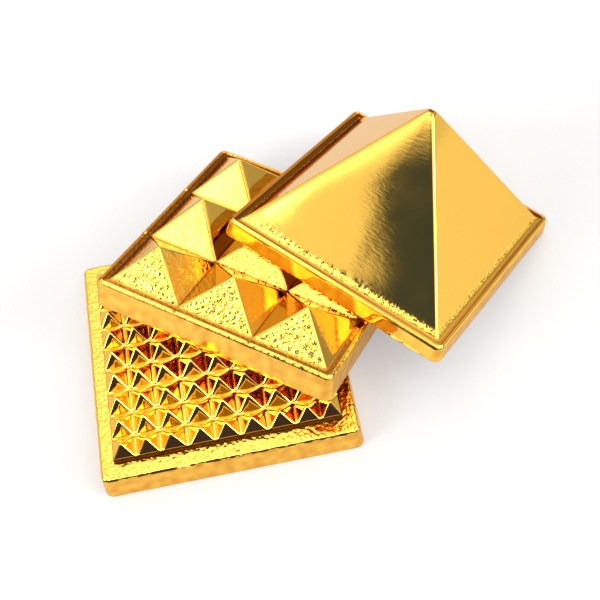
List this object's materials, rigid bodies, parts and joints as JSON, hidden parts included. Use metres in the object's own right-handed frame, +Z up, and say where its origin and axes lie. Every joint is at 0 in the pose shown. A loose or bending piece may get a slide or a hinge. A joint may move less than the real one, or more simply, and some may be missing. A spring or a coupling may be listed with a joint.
{
  "type": "layered metal pyramid set",
  "caption": "Square metal plates that nest: a base with a field of small pyramids, a plate of larger pyramids and one tall hollow pyramid, shown fanned out and leaning.",
  "frame": {"origin": "centre of the base plate's underside, on the table", "axes": "+Z up; X and Y along the base plate's sides, with the other two castings leaning towards +X"},
  "size_m": [0.0987, 0.0757, 0.0405],
  "materials": {
    "polished_brass": "gold-coloured, polished faces with rough cast edges"
  },
  "bodies": {
    "base": {"base_plate": "polished_brass"},
    "middle": {"middle_plate": "polished_brass"},
    "top": {"top_pyramid": "polished_brass"}
  },
  "joints": [
    {"name": "middle_lift", "type": "slide", "parent": "base", "child": "middle", "axis": [0, 0, 1], "range_m": [0, 0.02]},
    {"name": "top_lift", "type": "slide", "parent": "middle", "child": "top", "axis": [0, 0, 1], "range_m": [0, 0.035]}
  ]
}
